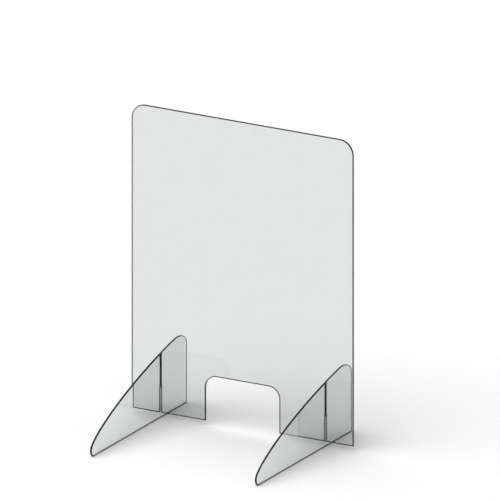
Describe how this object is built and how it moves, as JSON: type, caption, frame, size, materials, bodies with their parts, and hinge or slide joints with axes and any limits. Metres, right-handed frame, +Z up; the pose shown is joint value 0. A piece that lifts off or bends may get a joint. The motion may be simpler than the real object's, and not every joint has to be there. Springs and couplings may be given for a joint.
{
  "type": "sneeze guard",
  "caption": "Free-standing clear sneeze guard: an upright panel with a pass-through at its foot slots over fin-shaped feet and lifts straight off them.",
  "frame": {"origin": "on the counter, at the middle of the footprint's bounding box: midway between the feet, and midway from their back edges to their noses", "axes": "+Z up, +X along the panel from the left foot to the right foot, -Y towards the feet's long low noses, +Y towards their upright back edges"},
  "size_m": [0.6, 0.471, 0.774],
  "materials": {
    "panel_sheet": "polished",
    "foot_sheet": "polished"
  },
  "bodies": {
    "left_foot": {"left_foot": "foot_sheet"},
    "panel": {"panel": "panel_sheet"},
    "right_foot": {"right_foot": "foot_sheet"}
  },
  "joints": [
    {"name": "panel_lift", "type": "slide", "parent": "left_foot", "child": "panel", "axis": [0, 0, 1], "range_m": [0, 0.184]},
    {"name": "right_foot_release", "type": "slide", "parent": "panel", "child": "right_foot", "axis": [0, 0, -1], "range_m": [0, 0.184]}
  ],
  "couplings": [
    {"joint": "right_foot_release", "follows": "panel_lift", "ratio": 1}
  ]
}
